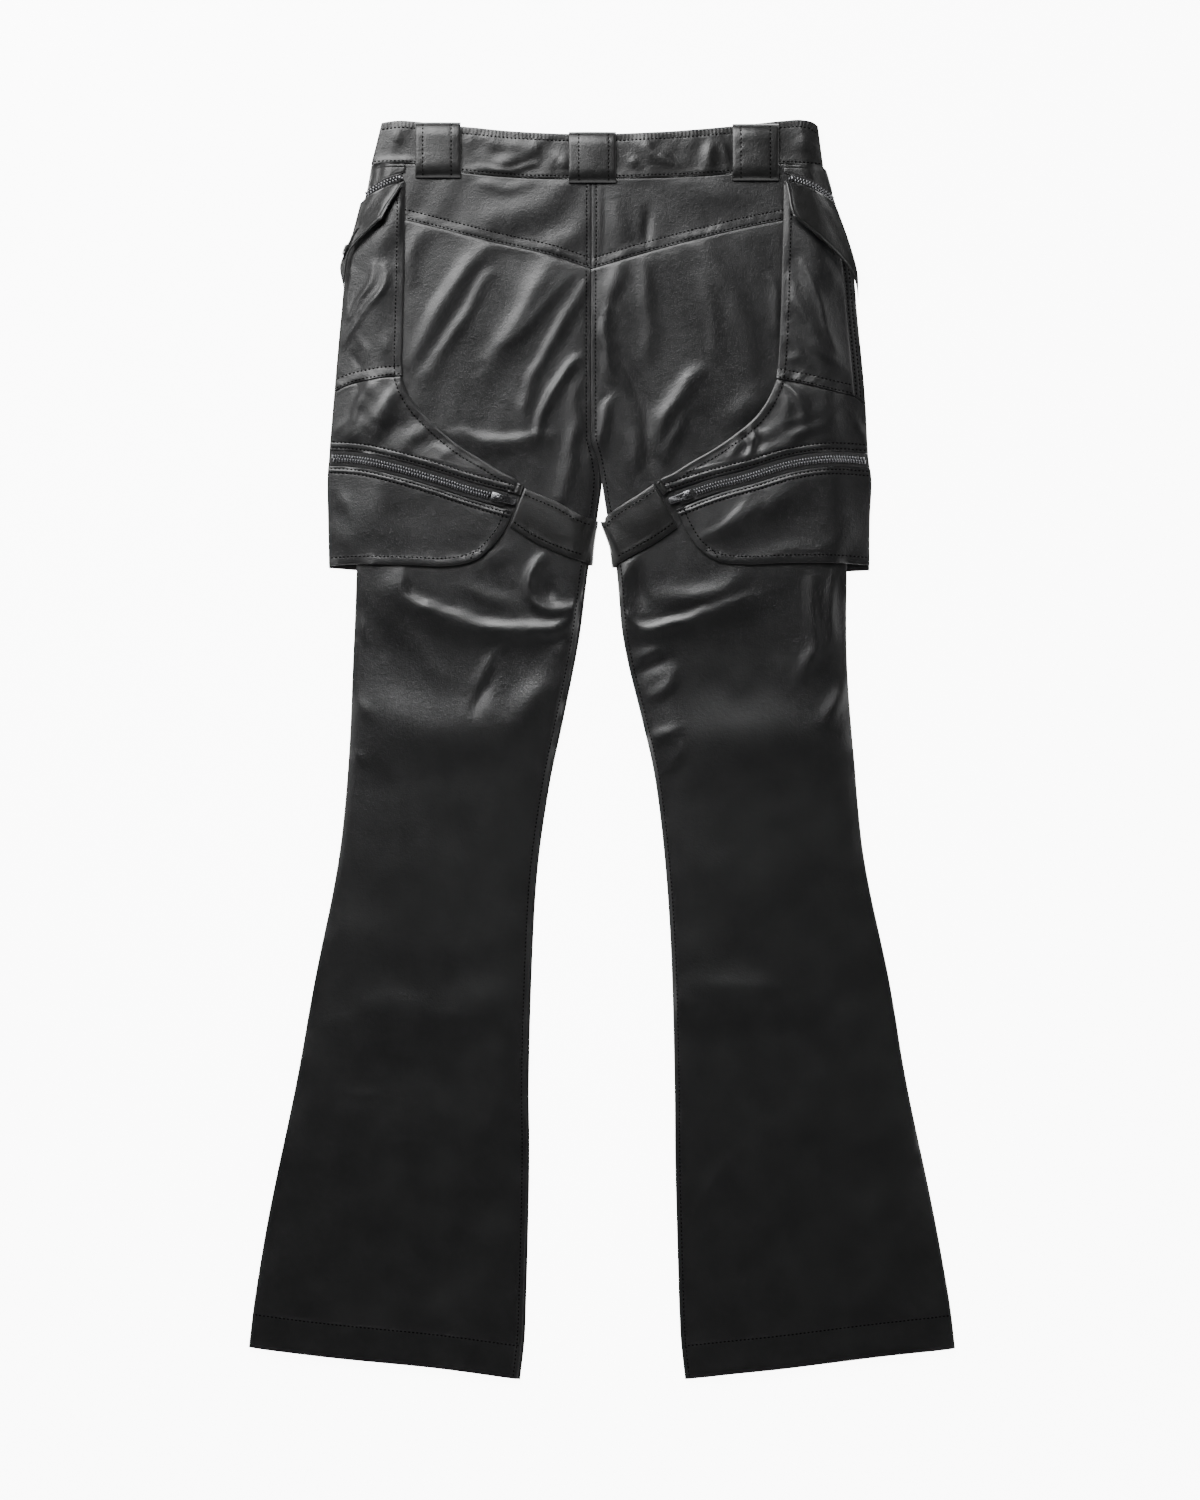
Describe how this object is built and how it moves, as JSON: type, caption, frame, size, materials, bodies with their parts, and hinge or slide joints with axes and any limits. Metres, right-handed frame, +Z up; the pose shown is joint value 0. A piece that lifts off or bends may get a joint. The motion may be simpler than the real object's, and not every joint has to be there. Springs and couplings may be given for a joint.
{
  "type": "leather trousers",
  "caption": "Black flared leather trousers with a cargo overlay of flapped pockets, curved thigh zips and inner-thigh straps, laid flat with the back up.",
  "frame": {"origin": "middle of the garment's bounding box, on the surface that it lies on", "axes": "+Z up from the surface, +Y from the hems to the waistband, +X to the wearer's right"},
  "size_m": [0.6351, 1.1312, 0.017],
  "materials": {
    "leather": "polyurethane-coated, semi-gloss, fine grain",
    "zip_tape": "woven polyester tape, matt",
    "zip_metal": "black nickel plate, polished",
    "thread": "bonded polyester topstitching thread"
  },
  "bodies": {
    "root": {"waistband_back": "leather", "waistband_front": "leather", "belt_loop_left": "leather", "belt_loop_centre": "leather", "belt_loop_right": "leather", "yoke_left": "leather", "yoke_right": "leather", "leg_back_left": "leather", "leg_back_right": "leather", "leg_front_left": "leather", "leg_front_right": "leather", "shorts_front_left": "leather", "shorts_front_right": "leather", "pocket_top_left": "leather", "pocket_top_right": "leather", "pocket_panel_left": "leather", "pocket_panel_right": "leather", "side_strip_right": "leather", "pocket_flap_left": "leather", "pocket_flap_right": "leather", "side_panel_left": "leather", "side_panel_right": "leather", "cuff_panel_left": "leather", "cuff_panel_right": "leather", "strap_left": "leather", "strap_right": "leather", "keeper_left": "leather", "keeper_right": "leather", "pocket_zip_left": "zip_tape", "pocket_zip_right": "zip_tape", "thigh_tape_left": "zip_tape", "thigh_tape_right": "zip_tape", "thigh_chain_left": "zip_metal", "thigh_chain_right": "zip_metal", "zip_slider_left": "zip_metal", "zip_slider_right": "zip_metal"},
    "pull_left": {"pull_tab_left": "zip_metal"},
    "pull_right": {"pull_tab_right": "zip_metal"}
  },
  "joints": [
    {"name": "pull_left_flip", "type": "hinge", "parent": "root", "child": "pull_left", "pos_m": [-0.09198, 0.2259, 0.01565], "axis": [-0.2429, -0.9701, 0], "range_deg": [0, 180]},
    {"name": "pull_right_flip", "type": "hinge", "parent": "root", "child": "pull_right", "pos_m": [0.07385, 0.22778, 0.01445], "axis": [-0.3379, 0.9412, 0], "range_deg": [0, 180]}
  ]
}
